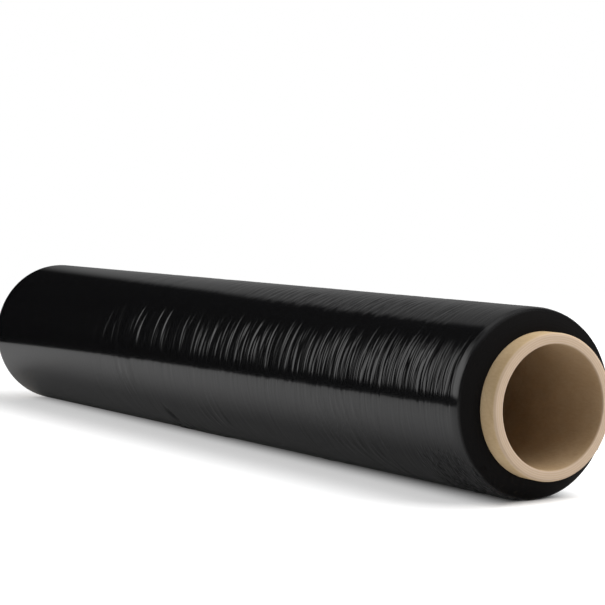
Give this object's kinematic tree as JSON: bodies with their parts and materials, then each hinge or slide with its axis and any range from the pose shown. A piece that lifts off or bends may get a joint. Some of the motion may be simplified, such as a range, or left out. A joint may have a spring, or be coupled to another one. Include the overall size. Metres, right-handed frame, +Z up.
{
  "type": "stretch wrap roll",
  "caption": "Roll of black stretch film wound tight on a spiral paper tube, lying on its side, for wrapping pallets and parcels.",
  "frame": {"origin": "on the surface that the roll rests on, under the middle of its length and its axis", "axes": "+X along the roll's axis towards the gathered end, +Y towards the side with the loose end of the film, +Z up"},
  "size_m": [0.479, 0.0796, 0.0788],
  "materials": {
    "film": "glossy black cling film, wound tight, with fine gathers round the roll",
    "core_paper": "matt brown paper tube, spiral wound, with faint ply seams"
  },
  "bodies": {
    "root": {"core_tube": "core_paper", "film_roll": "film"}
  },
  "joints": []
}
